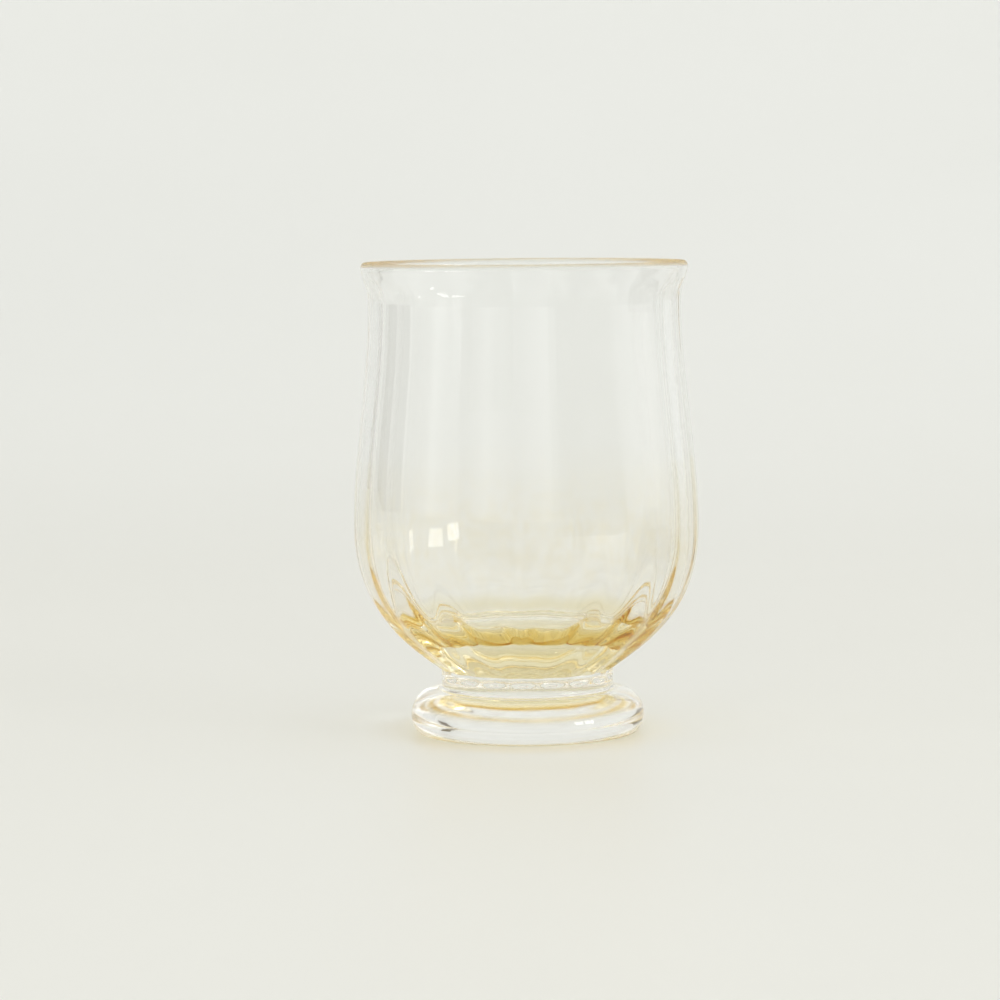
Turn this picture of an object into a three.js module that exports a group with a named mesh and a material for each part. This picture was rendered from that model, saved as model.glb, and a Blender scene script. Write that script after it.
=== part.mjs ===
// Clear glass sake cup: a fluted blown bowl with an amber base, on a collar and a bead foot.
// Millimetres, +Z up. The origin is the middle of the foot's underside, on the table.
import * as THREE from 'three';

// Foot: a round bead of glass, flat where it stands and hollowed underneath
const footRadius = 20.3;
const footHeight = 7.3;
const footBeadRadius = 4.4;
const hollowRadius = 14.6;
const hollowDepth = 1.1;

// Collar: the short drum that joins the foot to the bowl
const collarRadius = 14.9;
const collarHeight = 3.5;
const collarFillet = 0.8;

// Bowl outside: it rises from the collar to a belly, narrows to a waist and flares at the rim
const bowlHeight = 70.7;
const baseSlopeDegrees = 33.7;
const bellyRadius = 30;
const bellyRise = 25.2;
const waistRadius = 27.1;
const waistDrop = 7;
const rimRadius = 28.3;
const rimLeanDegrees = 12;

// How far the outline keeps its direction on each side of a turning point
const baseReach = 12.4;
const bellyReach = 11.9;
const waistReachBelow = 11.9;
const waistReachAbove = 2.1;
const rimReach = 1.9;

// Glass thickness, and the rounded floor inside
const wall = 1.5;
const rimWall = 1.2;
const floorThickness = 4.6;
const floorReach = 16.5;
const floorWallReach = 16.5;

// Amber lining: a skin of coloured glass round the base of the bowl, thinning towards its top edge
const liningRise = 9.2;
const liningBase = 1.5;
const liningEdge = 0.9;

// Flutes: hollow grooves side by side round the bowl, with round ends at the top and bottom
const fluteCount = 18;
const fluteDepth = 0.5;
const fluteBaseDepth = 1;
const fluteFadeRise = 14;
const rimBand = 2.3;
const archRise = 2.8;
const archRunout = 2.4;
const scallopDrop = 1.5;
const scallopRise = 0.7;
const scallopRunout = 0.9;

// Facets
const facetsPerFlute = 4;
const segments = fluteCount * facetsPerFlute;
const liningFacets = 5;
const bellyFacets = 5;
const wallFacets = 6;
const archFacets = 6;
const bandFacets = 2;
const lipFacets = 4;
const floorFacets = 11;
const insideFacets = 8;
const scallopFacets = 4;
const filletFacets = 3;
const hollowFacets = 4;
const beadFacets = 9;

// Heights of the turning points above the table
const collarTop = footHeight + collarHeight;
const bellyHeight = collarTop + bellyRise;
const rimHeight = collarTop + bowlHeight;
const waistHeight = rimHeight - waistDrop;
const lipHeight = rimHeight - rimWall / 2;
const liningTop = collarTop + liningRise;
const floorHeight = collarTop + floorThickness;

const clearGlass = { color: 0xeef1ec, roughness: 0.03, metalness: 0, transparent: true, opacity: 0.35 };
const amberGlass = { color: 0xc99a3d, roughness: 0.03, metalness: 0, transparent: true, opacity: 0.5 };

// A curve from the belly up over the waist to just under the lip, at the given radii
function upperCurve(belly, waist, rim) {
  const lean = THREE.MathUtils.degToRad(rimLeanDegrees);
  const curve = new THREE.Path();
  curve.moveTo(belly, bellyHeight);
  curve.bezierCurveTo(belly, bellyHeight + bellyReach, waist, waistHeight - waistReachBelow, waist, waistHeight);
  const leanIn = rimReach * Math.sin(lean);
  const leanDown = rimReach * Math.cos(lean);
  curve.bezierCurveTo(waist, waistHeight + waistReachAbove, rim - leanIn, lipHeight - leanDown, rim, lipHeight);
  return curve;
}

// A curve from the collar up to the belly, lying the given distance inside the bowl's outside
function lowerCurve(inset) {
  const slope = THREE.MathUtils.degToRad(baseSlopeDegrees);
  const baseRadius = collarRadius - inset * Math.sin(slope);
  const baseHeight = collarTop + inset * Math.cos(slope);
  const belly = bellyRadius - inset;
  const curve = new THREE.Path();
  curve.moveTo(baseRadius, baseHeight);
  const reachOut = baseRadius + baseReach * Math.cos(slope);
  const reachUp = baseHeight + baseReach * Math.sin(slope);
  curve.bezierCurveTo(reachOut, reachUp, belly, bellyHeight - bellyReach, belly, bellyHeight);
  return curve;
}

// The inside of the cup from the middle of its floor to the belly
function floorCurve() {
  const belly = bellyRadius - wall;
  const curve = new THREE.Path();
  curve.moveTo(0, floorHeight);
  curve.bezierCurveTo(floorReach, floorHeight, belly, bellyHeight - floorWallReach, belly, bellyHeight);
  return curve;
}

// The point of a rising curve at a height, found by halving the stretch it lies in
function pointAtHeight(curve, height) {
  let low = 0;
  let high = 1;
  for (let step = 0; step < 40; step += 1) {
    const middle = (low + high) / 2;
    if (curve.getPointAt(middle).y < height) {
      low = middle;
    } else {
      high = middle;
    }
  }
  return new THREE.Vector2(curve.getPointAt(low).x, height);
}

// Points of a rising curve at evenly spaced heights, both ends included
function pointsBetween(curve, from, to, count) {
  const points = [];
  for (let step = 0; step <= count; step += 1) {
    points.push(pointAtHeight(curve, THREE.MathUtils.lerp(from, to, step / count)));
  }
  return points;
}

// Points of an arc in the profile plane, from one angle to another in degrees
function arcPoints(centreX, centreY, radiusX, radiusY, from, to, count) {
  const start = THREE.MathUtils.degToRad(from);
  const end = THREE.MathUtils.degToRad(to);
  const arc = new THREE.EllipseCurve(centreX, centreY, radiusX, radiusY, start, end, end < start);
  return arc.getPoints(count);
}

// How far a flute cuts into the glass at an angle round the cup, at a height and a radius
function fluteCut(angle, height, radius) {
  const turn = angle / (2 * Math.PI / fluteCount);
  const across = 2 * (turn - Math.round(turn));
  const bow = 1 - Math.sqrt(Math.max(0, 1 - across ** 2));
  const top = rimHeight - rimBand - archRise * bow;
  const bottom = collarTop - scallopDrop + scallopRise * bow;
  const belowTop = THREE.MathUtils.clamp((top - height) / archRunout, 0, 1);
  const aboveBottom = THREE.MathUtils.clamp((height - bottom) / scallopRunout, 0, 1);
  const ends = Math.sqrt(1 - (1 - belowTop) ** 2) * Math.sqrt(1 - (1 - aboveBottom) ** 2);
  const risen = THREE.MathUtils.smoothstep(height, collarTop, collarTop + fluteFadeRise);
  const depth = THREE.MathUtils.lerp(fluteBaseDepth, fluteDepth, risen);
  return depth * (radius / bellyRadius) * (1 - across ** 2) * ends;
}

// Turns a profile round the cup's axis, and cuts flutes into the points from one place to another
function turned(profile, flutedFrom = 0, flutedTo = 0) {
  const geometry = new THREE.LatheGeometry(profile, segments);
  const position = geometry.attributes.position;
  for (let index = 0; index < position.count; index += 1) {
    const place = index % profile.length;
    if (place < flutedFrom || place >= flutedTo) {
      continue;
    }
    const angle = 2 * Math.PI * Math.floor(index / profile.length) / segments;
    const point = profile[place];
    const radius = point.x - fluteCut(angle, point.y, point.x);
    position.setXYZ(index, radius * Math.sin(angle), point.y, radius * Math.cos(angle));
  }
  geometry.rotateX(Math.PI / 2);
  return geometry;
}

// The face where lining and bowl are fused, from the middle of the base to the lining's top edge
function fusedFace() {
  const thick = lowerCurve(liningBase);
  const thin = lowerCurve(liningEdge);
  const start = thick.getPointAt(0).y;
  const points = [new THREE.Vector2(0, start)];
  for (let step = 0; step <= liningFacets; step += 1) {
    const share = step / liningFacets;
    const height = THREE.MathUtils.lerp(start, liningTop, share);
    points.push(pointAtHeight(thick, height).lerp(pointAtHeight(thin, height), share));
  }
  return points;
}

function makeBowl() {
  const lower = lowerCurve(0);
  const upper = upperCurve(bellyRadius, waistRadius, rimRadius);
  const inner = upperCurve(bellyRadius - wall, waistRadius - wall, rimRadius - rimWall);
  const archFoot = rimHeight - rimBand - archRise - archRunout;
  const fused = fusedFace();
  const outside = [
    ...pointsBetween(lower, liningTop, bellyHeight, bellyFacets),
    ...pointsBetween(upper, bellyHeight, archFoot, wallFacets).slice(1),
    ...pointsBetween(upper, archFoot, rimHeight - rimBand, archFacets).slice(1),
    ...pointsBetween(upper, rimHeight - rimBand, lipHeight, bandFacets).slice(1),
  ];
  const lip = arcPoints(rimRadius - rimWall / 2, lipHeight, rimWall / 2, rimWall / 2, 0, 180, lipFacets);
  const inside = [
    ...floorCurve().getSpacedPoints(floorFacets),
    ...pointsBetween(inner, bellyHeight, lipHeight, insideFacets).slice(1),
  ];
  const profile = [...fused, ...outside, ...lip.slice(1, -1), ...inside.reverse()];
  return turned(profile, fused.length, fused.length + outside.length);
}

function makeLining() {
  const outside = pointsBetween(lowerCurve(0), collarTop, liningTop, liningFacets);
  const profile = [new THREE.Vector2(0, collarTop), ...outside, ...fusedFace().reverse()];
  return turned(profile, 1, 1 + outside.length);
}

function makeCollar() {
  const scallopFoot = collarTop - scallopDrop;
  const fillet = arcPoints(
    collarRadius + collarFillet, footHeight + collarFillet,
    collarFillet, collarFillet, 270, 180, filletFacets,
  );
  const side = [];
  for (let step = 0; step <= scallopFacets; step += 1) {
    const height = THREE.MathUtils.lerp(scallopFoot, collarTop, step / scallopFacets);
    side.push(new THREE.Vector2(collarRadius, height));
  }
  const profile = [
    new THREE.Vector2(0, footHeight),
    ...fillet,
    ...side,
    new THREE.Vector2(0, collarTop),
  ];
  const flutedFrom = 1 + fillet.length;
  return turned(profile, flutedFrom, flutedFrom + side.length);
}

function makeFoot() {
  const beadCentreRadius = footRadius - footBeadRadius;
  const beadCentreHeight = footHeight - footBeadRadius;
  const standAngle = THREE.MathUtils.radToDeg(Math.asin(-beadCentreHeight / footBeadRadius));
  const bead = arcPoints(
    beadCentreRadius, beadCentreHeight, footBeadRadius, footBeadRadius, standAngle, 90, beadFacets,
  );
  const hollow = arcPoints(0, 0, hollowRadius, hollowDepth, 90, 0, hollowFacets);
  return turned([...hollow, ...bead, new THREE.Vector2(0, footHeight)]);
}

function glassMesh(name, geometry, look) {
  const mesh = new THREE.Mesh(geometry, new THREE.MeshStandardMaterial(look));
  mesh.name = name;
  return mesh;
}

const cup = new THREE.Group();
cup.add(glassMesh('bowl', makeBowl(), clearGlass));
cup.add(glassMesh('amber_lining', makeLining(), amberGlass));
cup.add(glassMesh('collar', makeCollar(), clearGlass));
cup.add(glassMesh('foot', makeFoot(), clearGlass));

export default cup;
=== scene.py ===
import math
import bmesh
import bpy
from mathutils import Matrix, Vector
from mathutils.geometry import interpolate_bezier


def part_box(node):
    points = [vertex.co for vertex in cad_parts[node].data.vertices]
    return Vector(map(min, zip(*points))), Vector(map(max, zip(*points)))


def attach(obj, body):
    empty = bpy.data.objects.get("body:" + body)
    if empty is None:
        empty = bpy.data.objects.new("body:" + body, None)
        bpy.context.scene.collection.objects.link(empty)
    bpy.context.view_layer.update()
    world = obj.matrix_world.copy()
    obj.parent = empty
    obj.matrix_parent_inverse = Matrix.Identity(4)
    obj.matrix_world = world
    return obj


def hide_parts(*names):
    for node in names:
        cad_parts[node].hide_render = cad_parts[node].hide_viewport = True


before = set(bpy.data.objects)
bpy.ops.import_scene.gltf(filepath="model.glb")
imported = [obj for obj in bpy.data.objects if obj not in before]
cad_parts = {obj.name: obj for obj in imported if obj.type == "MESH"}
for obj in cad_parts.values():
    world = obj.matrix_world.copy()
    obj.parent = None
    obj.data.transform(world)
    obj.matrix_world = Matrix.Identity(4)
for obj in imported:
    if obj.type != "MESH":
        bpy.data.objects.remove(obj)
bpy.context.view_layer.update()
scene = bpy.context.scene
mm = 0.001
up = Vector((0, 0, 1))
print("loaded the frame with", len(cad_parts), "nodes")

# heights and radii that the frame already fixes
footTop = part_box("foot")[1][2]
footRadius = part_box("foot")[1][0]
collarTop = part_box("collar")[1][2]
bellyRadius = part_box("bowl")[1][0]
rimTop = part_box("bowl")[1][2]


# level directions at some degrees to the right of -Y: away from the cup's axis, and to the right of
# someone who stands there and faces the cup
def outwardAt(degrees):
    turn = math.radians(degrees)
    return Vector((math.sin(turn), -math.cos(turn), 0))


def rightwardAt(degrees):
    turn = math.radians(degrees)
    return Vector((math.cos(turn), math.sin(turn), 0))


# Camera
cameraShot = {
    "turn": 2.9,               # degrees to the right of the flute that faces -Y
    "distance": 626.9 * mm,    # level, from the cup's axis
    "height": 94.3 * mm,
    "aimHeight": 40.15 * mm,
    "aimLeft": 4.5 * mm,       # the cup stands a little right of the middle
    "roll": -0.5,              # degrees
    "lens": 130.4,
    "sensor": 36.0,
}


def makeCamera():
    turn = cameraShot["turn"]
    place = outwardAt(turn) * cameraShot["distance"] + up * cameraShot["height"]
    aim = up * cameraShot["aimHeight"] - rightwardAt(turn) * cameraShot["aimLeft"]
    facing = (aim - place).to_track_quat("-Z", "Y").to_matrix()
    roll = Matrix.Rotation(math.radians(cameraShot["roll"]), 3, "Z")
    data = bpy.data.cameras.new("cupCamera")
    data.lens = cameraShot["lens"]
    data.sensor_width = cameraShot["sensor"]
    camera = bpy.data.objects.new("cupCamera", data)
    camera.location = place
    camera.rotation_euler = (facing @ roll).to_euler()
    scene.collection.objects.link(camera)
    scene.camera = camera


makeCamera()
print("camera placed")


# Helpers for meshes and nodes
def addObject(body, name, materials):
    mesh = bpy.data.meshes.new(name)
    body.to_mesh(mesh)
    body.free()
    for material in materials:
        mesh.materials.append(material)
    thing = bpy.data.objects.new(name, mesh)
    scene.collection.objects.link(thing)
    return thing


def newMaterial(name):
    material = bpy.data.materials.new(name)
    material.use_nodes = True
    tree = material.node_tree
    return material, tree, tree.nodes["Principled BSDF"]


def addNode(tree, kind, **settings):
    node = tree.nodes.new(kind)
    for name, value in settings.items():
        setattr(node, name, value)
    return node


# Melt group: slow waves of hand-worked glass, and soft clouds in its colour and polish
meltNoise = {
    "waveDetail": 1.0,
    "waveRoughness": 0.4,
    "cloudDetail": 4.0,
    "cloudRoughness": 0.6,
}


def makeMeltGroup():
    group = bpy.data.node_groups.new("meltWaves", "ShaderNodeTree")
    sides = group.interface
    sides.new_socket(name="Coordinates", in_out="INPUT", socket_type="NodeSocketVector")
    for name in ("Wave Scale", "Wave Rise", "Cloud Scale"):
        sides.new_socket(name=name, in_out="INPUT", socket_type="NodeSocketFloat")
    for name in ("Height", "Cloud"):
        sides.new_socket(name=name, in_out="OUTPUT", socket_type="NodeSocketFloat")
    taken = addNode(group, "NodeGroupInput")
    given = addNode(group, "NodeGroupOutput")
    level = addNode(group, "ShaderNodeCombineXYZ")
    level.inputs["X"].default_value = 1.0
    level.inputs["Y"].default_value = 1.0
    stretch = addNode(group, "ShaderNodeVectorMath", operation="MULTIPLY")
    waves = addNode(group, "ShaderNodeTexNoise")
    waves.inputs["Detail"].default_value = meltNoise["waveDetail"]
    waves.inputs["Roughness"].default_value = meltNoise["waveRoughness"]
    clouds = addNode(group, "ShaderNodeTexNoise")
    clouds.inputs["Detail"].default_value = meltNoise["cloudDetail"]
    clouds.inputs["Roughness"].default_value = meltNoise["cloudRoughness"]
    link = group.links.new
    link(taken.outputs["Wave Rise"], level.inputs["Z"])
    link(taken.outputs["Coordinates"], stretch.inputs[0])
    link(level.outputs["Vector"], stretch.inputs[1])
    link(stretch.outputs["Vector"], waves.inputs["Vector"])
    link(taken.outputs["Wave Scale"], waves.inputs["Scale"])
    link(taken.outputs["Coordinates"], clouds.inputs["Vector"])
    link(taken.outputs["Cloud Scale"], clouds.inputs["Scale"])
    link(waves.outputs["Fac"], given.inputs["Height"])
    link(clouds.outputs["Fac"], given.inputs["Cloud"])
    return group


meltWaves = makeMeltGroup()


def placeMelt(tree, values):
    place = addNode(tree, "ShaderNodeTexCoord")
    melt = addNode(tree, "ShaderNodeGroup", node_tree=meltWaves)
    for socket, value in values.items():
        melt.inputs[socket].default_value = value
    tree.links.new(place.outputs["Object"], melt.inputs["Coordinates"])
    return place, melt


# Clear glass: polished, but dull where it has been worn or ground
clearGlass = {
    "ior": 1.5,
    "paleTint": (1.0, 1.0, 1.0, 1),
    "deepTint": (0.985, 0.99, 0.985, 1),
    "cloudFrom": 0.4,          # clouds between these values change the polish
    "cloudTo": 0.75,
}
bowlGlass = {
    "melt": {
        "Wave Scale": 300.0,   # noise scale, to the metre
        "Wave Rise": 0.07,     # how much the waves change upwards, against round
        "Cloud Scale": 260.0,
    },
    "waveDepth": 0.014 * mm,
    "dullFrom": 80.6 * mm,     # the lip is dull from here up
    "dullTo": 81.1 * mm,
    "dullTint": (0.93, 0.97, 1.0, 1),
    "dullPolish": (0.70, 0.80),  # roughness, from thin to thick clouds
}
footGlass = {
    "melt": {
        "Wave Scale": 190.0,
        "Wave Rise": 0.45,
        "Cloud Scale": 300.0,
    },
    "waveDepth": 0.016 * mm,
    "dullFrom": 1.3 * mm,      # the underside is ground from here down
    "dullTo": 1.15 * mm,
    "dullTint": (1.0, 1.0, 1.0, 1),
    "dullPolish": (0.09, 0.15),
}


def makeClearGlass(name, look):
    material, tree, glass = newMaterial(name)
    glass.inputs["Transmission Weight"].default_value = 1.0
    glass.inputs["IOR"].default_value = clearGlass["ior"]
    place, melt = placeMelt(tree, look["melt"])
    tint = addNode(tree, "ShaderNodeMix", data_type="RGBA")
    tint.inputs["A"].default_value = clearGlass["paleTint"]
    tint.inputs["B"].default_value = clearGlass["deepTint"]
    split = addNode(tree, "ShaderNodeSeparateXYZ")
    dull = addNode(tree, "ShaderNodeMapRange")
    dull.inputs["From Min"].default_value = look["dullFrom"]
    dull.inputs["From Max"].default_value = look["dullTo"]
    dullTint = addNode(tree, "ShaderNodeMix", data_type="RGBA")
    dullTint.inputs["B"].default_value = look["dullTint"]
    polish = addNode(tree, "ShaderNodeMapRange")
    polish.inputs["From Min"].default_value = clearGlass["cloudFrom"]
    polish.inputs["From Max"].default_value = clearGlass["cloudTo"]
    polish.inputs["To Min"].default_value = look["dullPolish"][0]
    polish.inputs["To Max"].default_value = look["dullPolish"][1]
    rough = addNode(tree, "ShaderNodeMath", operation="MULTIPLY")
    bump = addNode(tree, "ShaderNodeBump")
    bump.inputs["Distance"].default_value = look["waveDepth"]
    link = tree.links.new
    link(place.outputs["Object"], split.inputs["Vector"])
    link(split.outputs["Z"], dull.inputs["Value"])
    link(melt.outputs["Cloud"], tint.inputs["Factor"])
    link(tint.outputs["Result"], dullTint.inputs["A"])
    link(dull.outputs["Result"], dullTint.inputs["Factor"])
    link(dullTint.outputs["Result"], glass.inputs["Base Color"])
    link(melt.outputs["Cloud"], polish.inputs["Value"])
    link(polish.outputs["Result"], rough.inputs[0])
    link(dull.outputs["Result"], rough.inputs[1])
    link(rough.outputs["Value"], glass.inputs["Roughness"])
    link(melt.outputs["Height"], bump.inputs["Height"])
    link(bump.outputs["Normal"], glass.inputs["Normal"])
    return material


# Amber glass: it lies inside the clear glass, so it bends no light and only colours it
amberGlass = {
    "ior": 1.0,
    "melt": {"Cloud Scale": 420.0},
    "tints": (                 # height, colour of light passed by the skin
        (14.0 * mm, (0.998, 0.995, 0.985, 1)),
        (24.0 * mm, (0.994, 0.983, 0.955, 1)),
        (33.0 * mm, (0.987, 0.966, 0.908, 1)),
        (41.0 * mm, (0.996, 0.988, 0.968, 1)),
        (48.0 * mm, (1.0, 1.0, 1.0, 1)),
    ),
    "mottleFrom": 0.40,        # clouds between these values change the strength of the tint
    "mottleTo": 0.62,
    "mottleLeast": 0.30,       # share of the tint where the clouds are thinnest
    "soak": (0.89, 0.75, 0.18, 1),
    "soakDensity": 295.0,      # to the metre of amber passed
}


def makeAmberGlass(name, look):
    material, tree, glass = newMaterial(name)
    glass.inputs["Transmission Weight"].default_value = 1.0
    glass.inputs["Roughness"].default_value = 0.0
    glass.inputs["IOR"].default_value = look["ior"]
    place, melt = placeMelt(tree, look["melt"])
    split = addNode(tree, "ShaderNodeSeparateXYZ")
    bottom = look["tints"][0][0]
    top = look["tints"][-1][0]
    rise = addNode(tree, "ShaderNodeMapRange")
    rise.inputs["From Min"].default_value = bottom
    rise.inputs["From Max"].default_value = top
    fade = addNode(tree, "ShaderNodeValToRGB")
    stops = fade.color_ramp.elements
    while len(stops) < len(look["tints"]):
        stops.new(1.0)
    for stop, (height, colour) in zip(stops, look["tints"]):
        stop.position = (height - bottom) / (top - bottom)
        stop.color = colour
    spread = addNode(tree, "ShaderNodeMapRange")
    spread.inputs["From Min"].default_value = look["mottleFrom"]
    spread.inputs["From Max"].default_value = look["mottleTo"]
    spread.inputs["To Min"].default_value = look["mottleLeast"]
    tint = addNode(tree, "ShaderNodeMix", data_type="RGBA")
    tint.inputs["A"].default_value = look["tints"][-1][1]
    soak = addNode(tree, "ShaderNodeVolumeAbsorption")
    soak.inputs["Color"].default_value = look["soak"]
    soak.inputs["Density"].default_value = look["soakDensity"]
    link = tree.links.new
    link(place.outputs["Object"], split.inputs["Vector"])
    link(split.outputs["Z"], rise.inputs["Value"])
    link(rise.outputs["Result"], fade.inputs["Fac"])
    link(fade.outputs["Color"], tint.inputs["B"])
    link(melt.outputs["Cloud"], spread.inputs["Value"])
    link(spread.outputs["Result"], tint.inputs["Factor"])
    link(tint.outputs["Result"], glass.inputs["Base Color"])
    link(soak.outputs["Volume"], tree.nodes["Material Output"].inputs["Volume"])
    return material


# Fused faces: where two gathers of glass melted into one, nothing shows
def makeFusedFace(name):
    material, tree, glass = newMaterial(name)
    tree.nodes.remove(glass)
    melted = addNode(tree, "ShaderNodeBsdfTransparent")
    tree.links.new(melted.outputs["BSDF"], tree.nodes["Material Output"].inputs["Surface"])
    return material


bowlMaterial = makeClearGlass("clearBowlGlass", bowlGlass)
footMaterial = makeClearGlass("clearFootGlass", footGlass)
amberMaterial = makeAmberGlass("amberSkinGlass", amberGlass)
fusedMaterial = makeFusedFace("fusedFace")
print("glass mixed")


# Flutes: hollow grooves side by side round the bowl, with soft arched tops and round lower ends
fluteShape = {
    "count": 18,
    "depthHigh": 0.30 * mm,      # in the upper bowl
    "depthLow": 0.9 * mm,        # near the collar
    "lowHeight": 13 * mm,        # the depth changes between these heights
    "highHeight": 34 * mm,
    "ribRounding": 0.8,          # 0 for sharp ribs, 1 for round ones
    "unevenness": 0.08,          # share by which the flutes differ in depth
    "unevenStep": 2.4,           # radians from flute to flute in the wave of depths
    "rimBand": 2.3 * mm,         # plain glass under the rim
    "archRise": 2.8 * mm,
    "archRunout": 3.2 * mm,
    "scallopDrop": 1.5 * mm,     # how far the lower ends reach down the collar
    "scallopRise": 0.7 * mm,
    "scallopRunout": 0.9 * mm,
}


def clamp(value):
    return min(1.0, max(0.0, value))


def ease(value, low, high):
    share = clamp((value - low) / (high - low))
    return share * share * (3 - 2 * share)


def mix(low, high, share):
    return low + (high - low) * share


def roundEnd(share):
    return math.sqrt(1 - (1 - clamp(share)) ** 2)


# how much of a groove's depth is cut at an angle and a height, from 0 on a rib to about 1
def grooveShare(angle, height):
    turn = angle * fluteShape["count"] / math.tau
    across = 2 * (turn - round(turn))
    hollow = 1 - across ** 2
    wave = 0.5 + 0.5 * math.cos(math.pi * across)
    bow = 1 - math.sqrt(max(0.0, 1 - across ** 2))
    top = rimTop - fluteShape["rimBand"] - fluteShape["archRise"] * bow
    bottom = collarTop - fluteShape["scallopDrop"] + fluteShape["scallopRise"] * bow
    upperEnd = ease(top - height, 0, fluteShape["archRunout"])
    lowerEnd = roundEnd((height - bottom) / fluteShape["scallopRunout"])
    uneven = 1 + fluteShape["unevenness"] * math.sin(fluteShape["unevenStep"] * round(turn))
    return mix(hollow, wave, fluteShape["ribRounding"]) * upperEnd * lowerEnd * uneven


def fluteDepth(height):
    risen = ease(height, fluteShape["lowHeight"], fluteShape["highHeight"])
    return mix(fluteShape["depthLow"], fluteShape["depthHigh"], risen)


# Turning: a profile is spun round the cup's axis, then its grooves are pressed in
turning = {
    "steps": 288,               # round the axis, 16 to a flute
    "mergeGap": 0.001 * mm,
    "fusedSlack": 0.01 * mm,
    "levelNormal": 0.999,       # a face is level if its normal's Z is past this
}


def arcRun(centreRadius, centreHeight, radius, rise, start, stop, steps):
    run = []
    for step in range(steps + 1):
        angle = math.radians(mix(start, stop, step / steps))
        across = centreRadius + radius * math.cos(angle)
        run.append(Vector((across, 0, centreHeight + rise * math.sin(angle))))
    return run


# each point of a profile comes with the depth of its grooves, and with how far it goes in on the right
# and out on the left
def spinProfile(profile):
    body = bmesh.new()
    grooves = body.verts.layers.float.new("grooveDepth")
    leans = body.verts.layers.float.new("leanDepth")
    line = []
    for point, depth, lean in profile:
        vert = body.verts.new(point)
        vert[grooves] = depth
        vert[leans] = lean
        line.append(vert)
    edges = [body.edges.new(pair) for pair in zip(line, line[1:])]
    bmesh.ops.spin(body, geom=line + edges, cent=(0, 0, 0), axis=up, angle=math.tau,
                   steps=turning["steps"], use_merge=True)
    bmesh.ops.remove_doubles(body, verts=body.verts, dist=turning["mergeGap"])
    for vert in body.verts:
        radius = vert.co.xy.length
        if vert[grooves] == 0 or radius == 0:
            continue
        angle = math.atan2(vert.co.x, -vert.co.y)
        cut = vert[grooves] * (radius / bellyRadius) * grooveShare(angle, vert.co.z)
        cut += vert[leans] * math.sin(angle)
        vert.co.xy *= 1 - cut / radius
    bmesh.ops.recalc_face_normals(body, faces=body.faces)
    return body


# level faces at a fused height, out to its reach, get the second material
def finishPiece(body, name, node, materials, fusedHeights=()):
    for face in body.faces:
        face.smooth = True
        middle = face.calc_center_median()
        level = abs(face.normal.z) > turning["levelNormal"]
        for height, reach in fusedHeights:
            if level and abs(middle.z - height) < turning["fusedSlack"] and middle.xy.length < reach:
                face.material_index = 1
    for edge in body.edges:
        edge.smooth = len({face.material_index for face in edge.link_faces}) == 1
    piece = addObject(body, name, materials)
    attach(piece, "root")
    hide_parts(node)
    print("made", name, "with", len(piece.data.polygons), "faces")


# Foot: a round bead of glass, flat where it stands and hollowed underneath
footShape = {
    "beadRadius": 4.4 * mm,
    "hollowRadius": 14.6 * mm,
    "hollowDepth": 1.1 * mm,
    "hollowSteps": 24,
    "beadSteps": 44,
}
# the collar's shape stands before its code, because the foot's seat follows from it
collarShape = {
    "radius": 14.9 * mm,
    "fillet": 0.8 * mm,
    "filletSteps": 10,
    "sideSteps": 14,
}
seatRadius = collarShape["radius"] + collarShape["fillet"]    # where the fillet meets the foot


def makeFoot():
    bead = footShape["beadRadius"]
    centreRadius = footRadius - bead
    centreHeight = footTop - bead
    stand = -math.degrees(math.asin(centreHeight / bead))
    run = arcRun(0, 0, footShape["hollowRadius"], footShape["hollowDepth"],
                 90, 0, footShape["hollowSteps"])
    run += arcRun(centreRadius, centreHeight, bead, bead, stand, 90, footShape["beadSteps"])
    run += [Vector((seatRadius, 0, footTop)), up * footTop]
    body = spinProfile([(point, 0, 0) for point in run])
    finishPiece(body, "beadFoot", "foot", [footMaterial, fusedMaterial],
                [(footTop, seatRadius)])


# Collar: a short drum with a fillet below and the ends of the flutes above
def makeCollar():
    bend = collarShape["fillet"]
    fillet = arcRun(seatRadius, footTop + bend, bend, bend, 270, 180, collarShape["filletSteps"])
    profile = [(up * footTop, 0, 0)] + [(point, 0, 0) for point in fillet]
    for step in range(1, collarShape["sideSteps"] + 1):
        height = mix(fillet[-1].z, collarTop, step / collarShape["sideSteps"])
        profile.append((Vector((collarShape["radius"], 0, height)), fluteDepth(height), 0))
    profile.append((up * collarTop, 0, 0))
    body = spinProfile(profile)
    finishPiece(body, "scallopedCollar", "collar", [footMaterial, fusedMaterial],
                [(footTop, seatRadius), (collarTop, seatRadius)])


# Bowl: it rises from the collar to a belly, narrows to a waist and flares at the rim
bowlShape = {
    "baseSlope": 33.7,          # degrees
    "basePull": 12.4 * mm,      # how far the outline keeps each direction
    "bellyRise": 25.2 * mm,
    "bellyPull": 11.9 * mm,
    "waistRadius": 27.1 * mm,
    "waistDrop": 7 * mm,
    "waistPullBelow": 11.9 * mm,
    "waistPullAbove": 2.1 * mm,
    "rimRadius": 28.3 * mm,
    "rimLean": 12,              # degrees
    "rimPull": 1.9 * mm,
    "wall": 1.5 * mm,
    "rimWall": 1.4 * mm,
    "lipRise": 1.2 * mm,
    "floorThickness": 4.6 * mm,
    "floorPull": 16.5 * mm,
    "floorWallPull": 16.5 * mm,
    "runSteps": 56,
    "flareSteps": 24,
    "lipSteps": 28,
}
bellyHeight = collarTop + bowlShape["bellyRise"]
lipHeight = rimTop - bowlShape["lipRise"]


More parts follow.
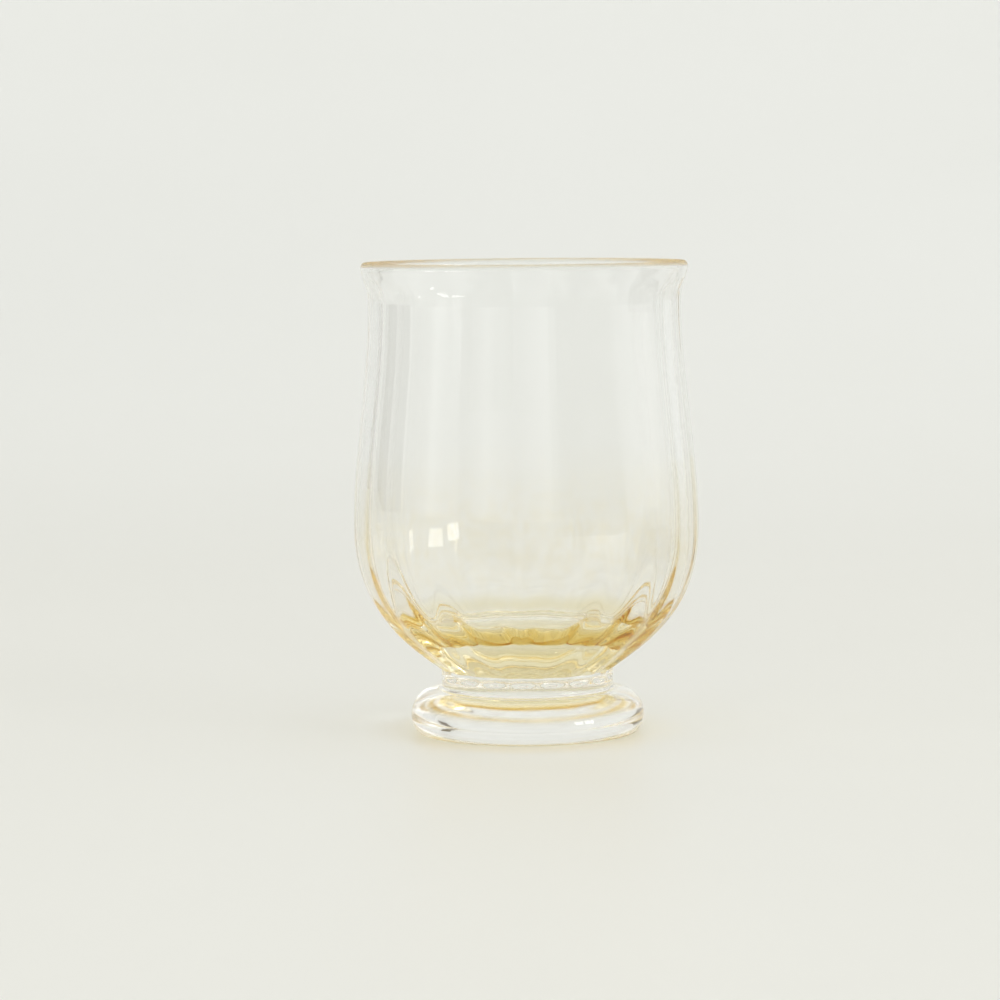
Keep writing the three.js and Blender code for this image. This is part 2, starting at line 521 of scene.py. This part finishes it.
# the run from the belly to the lip, at the outside or at the inside of the wall
def upperRun(belly, waist, rim):
    lean = math.radians(bowlShape["rimLean"])
    leaning = Vector((math.sin(lean), 0, math.cos(lean)))
    bellyPoint = Vector((belly, 0, bellyHeight))
    waistPoint = Vector((waist, 0, rimTop - bowlShape["waistDrop"]))
    lipPoint = Vector((rim, 0, lipHeight))
    side = interpolate_bezier(bellyPoint, bellyPoint + up * bowlShape["bellyPull"],
                              waistPoint - up * bowlShape["waistPullBelow"], waistPoint,
                              bowlShape["runSteps"])
    flare = interpolate_bezier(waistPoint, waistPoint + up * bowlShape["waistPullAbove"],
                               lipPoint - leaning * bowlShape["rimPull"], lipPoint,
                               bowlShape["flareSteps"])
    return side[:-1] + flare


# the outside, from the collar up to the lip
def outsideRun():
    slope = math.radians(bowlShape["baseSlope"])
    sloping = Vector((math.cos(slope), 0, math.sin(slope)))
    basePoint = Vector((collarShape["radius"], 0, collarTop))
    bellyPoint = Vector((bellyRadius, 0, bellyHeight))
    lower = interpolate_bezier(basePoint, basePoint + sloping * bowlShape["basePull"],
                               bellyPoint - up * bowlShape["bellyPull"], bellyPoint,
                               bowlShape["runSteps"])
    return lower[:-1] + upperRun(bellyRadius, bowlShape["waistRadius"], bowlShape["rimRadius"])


# the inside, from the middle of the floor up to the lip
def insideRun():
    wall = bowlShape["wall"]
    floorPoint = up * (collarTop + bowlShape["floorThickness"])
    bellyPoint = Vector((bellyRadius - wall, 0, bellyHeight))
    lower = interpolate_bezier(floorPoint, floorPoint + Vector((bowlShape["floorPull"], 0, 0)),
                               bellyPoint - up * bowlShape["floorWallPull"], bellyPoint,
                               bowlShape["runSteps"])
    rim = bowlShape["rimRadius"] - bowlShape["rimWall"]
    return lower[:-1] + upperRun(bellyRadius - wall, bowlShape["waistRadius"] - wall, rim)


def makeBowl():
    profile = [(up * collarTop, 0, 0)]
    profile += [(point, fluteDepth(point.z), 0) for point in outsideRun()]
    halfLip = bowlShape["rimWall"] / 2
    lip = arcRun(bowlShape["rimRadius"] - halfLip, lipHeight, halfLip, bowlShape["lipRise"],
                 0, 180, bowlShape["lipSteps"])
    profile += [(point, 0, 0) for point in lip[1:-1]]
    profile += [(point, 0, 0) for point in reversed(insideRun())]
    body = spinProfile(profile)
    finishPiece(body, "flutedBowl", "bowl", [bowlMaterial, fusedMaterial],
                [(collarTop, collarShape["radius"])])


# Amber skin: just under the outside of the lower bowl, thickest in a band and a wash above it
amberShape = {
    "cover": 0.04 * mm,         # clear glass over it
    "baseThickness": 0.52 * mm,
    "bandThickness": 1.25 * mm,
    "bandHeight": 13 * mm,
    "bandTop": 19 * mm,         # above this the skin is only a wash
    "lean": 0.45,               # share by which it is thicker on the right and thinner on the left
    "washThickness": 0.03 * mm,
    "washTop": 48 * mm,
    "baseSteps": 12,
}


def amberThickness(height):
    risen = ease(height, collarTop, amberShape["bandHeight"])
    faded = ease(height, amberShape["bandHeight"], amberShape["bandTop"])
    thickness = mix(amberShape["baseThickness"], amberShape["bandThickness"], risen)
    return mix(thickness, amberShape["washThickness"], faded)


def makeAmber():
    outside = [point for point in outsideRun() if point.z <= amberShape["washTop"]]
    base = [outside[0].lerp(up * collarTop, step / amberShape["baseSteps"])
            for step in range(amberShape["baseSteps"], 0, -1)]
    run = base + outside
    cover = amberShape["cover"]
    nearSide = []
    farSide = []
    for place, point in enumerate(run):
        along = run[min(place + 1, len(run) - 1)] - run[max(place - 1, 0)]
        inward = Vector((-along.z, 0, along.x)).normalized()
        depth = fluteDepth(point.z) if place >= len(base) else 0
        if place == 0:
            inward = up         # keeps the first point on the axis
        thickness = amberThickness(point.z)
        nearSide.append((point + inward * cover, depth, 0))
        farSide.append((point + inward * (cover + thickness), depth, thickness * amberShape["lean"]))
    body = spinProfile(nearSide + farSide[::-1])
    finishPiece(body, "amberSkin", "amber_lining", [amberMaterial])


makeFoot()
makeCollar()
makeBowl()
makeAmber()


# Stage: a pale table that sweeps up into a wall
stageShape = {
    "drop": 0.1 * mm,           # the table lies just under the foot
    "near": -1.6,               # metres, down to halfWidth
    "bendFrom": 0.35,
    "bendRadius": 1.0,
    "wallTop": 2.2,
    "halfWidth": 1.6,
    "bendSteps": 20,
    "tableColour": (0.795, 0.795, 0.765, 1),
    "wallColour": (0.80, 0.81, 0.80, 1),
    "wallFrom": 0.15,           # the colour changes between these distances behind the cup
    "wallTo": 0.75,
    "fleck": (0.98, 0.98, 0.975, 1),
    "fleckScale": 9.0,
    "roughness": 0.4,
}


def makeStage(material):
    body = bmesh.new()
    run = [Vector((0, stageShape["near"], 0)), Vector((0, stageShape["bendFrom"], 0))]
    for step in range(1, stageShape["bendSteps"] + 1):
        angle = math.radians(90 * step / stageShape["bendSteps"])
        ahead = stageShape["bendFrom"] + stageShape["bendRadius"] * math.sin(angle)
        run.append(Vector((0, ahead, stageShape["bendRadius"] * (1 - math.cos(angle)))))
    run.append(Vector((0, run[-1].y, stageShape["wallTop"])))
    shift = Vector((-stageShape["halfWidth"], 0, -stageShape["drop"]))
    line = [body.verts.new(point + shift) for point in run]
    edges = [body.edges.new(pair) for pair in zip(line, line[1:])]
    swept = bmesh.ops.extrude_edge_only(body, edges=edges)["geom"]
    moved = [item for item in swept if isinstance(item, bmesh.types.BMVert)]
    bmesh.ops.translate(body, verts=moved, vec=(2 * stageShape["halfWidth"], 0, 0))
    bmesh.ops.recalc_face_normals(body, faces=body.faces)
    for face in body.faces:
        face.smooth = True
    sweep = addObject(body, "tableSweep", [material])


def makeTablePaint():
    material, tree, paint = newMaterial("paleTable")
    place = addNode(tree, "ShaderNodeTexCoord")
    split = addNode(tree, "ShaderNodeSeparateXYZ")
    away = addNode(tree, "ShaderNodeMapRange", interpolation_type="SMOOTHSTEP")
    away.inputs["From Min"].default_value = stageShape["wallFrom"]
    away.inputs["From Max"].default_value = stageShape["wallTo"]
    tint = addNode(tree, "ShaderNodeMix", data_type="RGBA")
    tint.inputs["A"].default_value = stageShape["tableColour"]
    tint.inputs["B"].default_value = stageShape["wallColour"]
    fleck = addNode(tree, "ShaderNodeTexNoise")
    fleck.inputs["Scale"].default_value = stageShape["fleckScale"]
    flecked = addNode(tree, "ShaderNodeMix", data_type="RGBA", blend_type="MULTIPLY")
    flecked.inputs["B"].default_value = stageShape["fleck"]
    paint.inputs["Roughness"].default_value = stageShape["roughness"]
    link = tree.links.new
    link(place.outputs["Object"], split.inputs["Vector"])
    link(split.outputs["Y"], away.inputs["Value"])
    link(away.outputs["Result"], tint.inputs["Factor"])
    link(place.outputs["Object"], fleck.inputs["Vector"])
    link(fleck.outputs["Fac"], flecked.inputs["Factor"])
    link(tint.outputs["Result"], flecked.inputs["A"])
    link(flecked.outputs["Result"], paint.inputs["Base Color"])
    return material


# Screens: brown panels out of the picture, which the glass picks up as grey columns and dark marks
screenShape = {
    "places": (                 # degrees right of -Y, lower edge, width and height in metres
        (-112, 0.0, 0.40, 0.90),
        (150, 0.0, 0.10, 0.90),
    ),
    "distance": 1.0,
    "colour": (0.16, 0.13, 0.10, 1),
    "fleck": (0.13, 0.105, 0.08, 1),
    "fleckScale": 12.0,
    "roughness": 0.6,
}


def makeScreenPaint():
    material, tree, paint = newMaterial("brownScreen")
    place = addNode(tree, "ShaderNodeTexCoord")
    fleck = addNode(tree, "ShaderNodeTexNoise")
    fleck.inputs["Scale"].default_value = screenShape["fleckScale"]
    tint = addNode(tree, "ShaderNodeMix", data_type="RGBA")
    tint.inputs["A"].default_value = screenShape["colour"]
    tint.inputs["B"].default_value = screenShape["fleck"]
    paint.inputs["Roughness"].default_value = screenShape["roughness"]
    tree.links.new(place.outputs["Object"], fleck.inputs["Vector"])
    tree.links.new(fleck.outputs["Fac"], tint.inputs["Factor"])
    tree.links.new(tint.outputs["Result"], paint.inputs["Base Color"])
    return material


def makeScreens(material):
    for degrees, bottom, width, height in screenShape["places"]:
        outward = outwardAt(degrees)
        middle = outward * screenShape["distance"] + up * (bottom + height / 2)
        body = bmesh.new()
        bmesh.ops.create_grid(body, x_segments=1, y_segments=1, size=0.5)    # one metre square
        bmesh.ops.scale(body, vec=(width, height, 1), verts=body.verts)
        facing = (-outward).to_track_quat("Z", "Y").to_matrix()
        bmesh.ops.rotate(body, cent=(0, 0, 0), matrix=facing, verts=body.verts)
        bmesh.ops.translate(body, vec=middle, verts=body.verts)
        screen = addObject(body, "brownScreen", [material])
        screen.visible_camera = False


# Card: a small pale card out of the picture, which hides the window panes from the front of the cup
cardShape = {
    "turn": 35,                 # degrees right of -Y
    "distance": 43 * mm,
    "width": 28 * mm,
    "bottom": 35 * mm,
    "top": 140 * mm,
}


def makeCard(material):
    stand = outwardAt(cardShape["turn"]) * cardShape["distance"]
    body = bmesh.new()
    corners = []
    for side, height in ((-0.5, "bottom"), (0.5, "bottom"), (0.5, "top"), (-0.5, "top")):
        across = rightwardAt(cardShape["turn"]) * cardShape["width"] * side
        corners.append(body.verts.new(stand + across + up * cardShape[height]))
    body.faces.new(corners)
    card = addObject(body, "paleCard", [material])
    card.visible_camera = False
    card.visible_diffuse = False
    card.visible_shadow = False


tablePaint = makeTablePaint()
makeStage(tablePaint)
makeCard(tablePaint)
makeScreens(makeScreenPaint())
print("stage set")


# Light: a bright room with tall soft windows all round, and two clear window panes on the right
roomLight = {
    "bright": (1.0, 1.0, 0.965, 1),
    "dull": (0.45, 0.44, 0.41, 1),
    "windows": 9,
    "firstWindow": 17,          # degrees right of -Y
    "dullLeft": 1.0,            # how dull it is between the windows on each side
    "dullRight": 0.3,
    "strength": 1.31,
}
windowLight = {
    "panes": (                  # degrees right of -Y and up, width and height in metres
        (66, 8.8, 0.28, 0.36),
        (54.5, 8.8, 0.24, 0.34),
    ),
    "distance": 1.6,
    "brightness": 6.0,          # watts for each square metre of pane, over pi
    "colour": (1.0, 1.0, 1.0),
}


def makeRoomLight():
    world = bpy.data.worlds.new("brightRoom")
    world.use_nodes = True
    tree = world.node_tree
    room = tree.nodes["Background"]
    place = addNode(tree, "ShaderNodeTexCoord")
    split = addNode(tree, "ShaderNodeSeparateXYZ")
    ahead = addNode(tree, "ShaderNodeMath", operation="MULTIPLY")
    ahead.inputs[1].default_value = -1.0
    turn = addNode(tree, "ShaderNodeMath", operation="ARCTAN2")
    fromFirst = addNode(tree, "ShaderNodeMath", operation="SUBTRACT")
    fromFirst.inputs[1].default_value = math.radians(roomLight["firstWindow"])
    phase = addNode(tree, "ShaderNodeMath", operation="MULTIPLY")
    phase.inputs[1].default_value = roomLight["windows"]
    wave = addNode(tree, "ShaderNodeMath", operation="COSINE")
    between = addNode(tree, "ShaderNodeMapRange")
    between.inputs["From Min"].default_value = 1.0
    between.inputs["From Max"].default_value = -1.0
    side = addNode(tree, "ShaderNodeMapRange")
    side.inputs["From Min"].default_value = -1.0
    side.inputs["To Min"].default_value = roomLight["dullLeft"]
    side.inputs["To Max"].default_value = roomLight["dullRight"]
    share = addNode(tree, "ShaderNodeMath", operation="MULTIPLY")
    tint = addNode(tree, "ShaderNodeMix", data_type="RGBA")
    tint.inputs["A"].default_value = roomLight["bright"]
    tint.inputs["B"].default_value = roomLight["dull"]
    room.inputs["Strength"].default_value = roomLight["strength"]
    link = tree.links.new
    link(place.outputs["Generated"], split.inputs["Vector"])
    link(split.outputs["Y"], ahead.inputs[0])
    link(split.outputs["X"], turn.inputs[0])
    link(ahead.outputs["Value"], turn.inputs[1])
    link(turn.outputs["Value"], fromFirst.inputs[0])
    link(fromFirst.outputs["Value"], phase.inputs[0])
    link(phase.outputs["Value"], wave.inputs[0])
    link(wave.outputs["Value"], between.inputs["Value"])
    link(split.outputs["X"], side.inputs["Value"])
    link(between.outputs["Result"], share.inputs[0])
    link(side.outputs["Result"], share.inputs[1])
    link(share.outputs["Value"], tint.inputs["Factor"])
    link(tint.outputs["Result"], room.inputs["Color"])
    scene.world = world


def makeWindow():
    for turnDegrees, riseDegrees, width, height in windowLight["panes"]:
        rise = math.radians(riseDegrees)
        level = outwardAt(turnDegrees)
        light = bpy.data.lights.new("windowPane", "AREA")
        light.shape = "RECTANGLE"
        light.size = width
        light.size_y = height
        light.energy = windowLight["brightness"] * math.pi * width * height
        light.color = windowLight["colour"]
        pane = bpy.data.objects.new("windowPane", light)
        pane.location = (level * math.cos(rise) + up * math.sin(rise)) * windowLight["distance"]
        pane.rotation_euler = (-pane.location).to_track_quat("-Z", "Y").to_euler()
        pane.visible_camera = False
        scene.collection.objects.link(pane)


makeRoomLight()
makeWindow()

# light has to pass through many walls of glass, and the pale room keeps its tones
glassBounces = 256
tableBounces = 6
scene.cycles.blur_glossy = 0.0
scene.cycles.max_bounces = glassBounces
scene.cycles.transmission_bounces = glassBounces
scene.cycles.glossy_bounces = glassBounces
scene.cycles.transparent_max_bounces = glassBounces
scene.cycles.diffuse_bounces = tableBounces
scene.view_settings.view_transform = "Standard"
print("lights on")
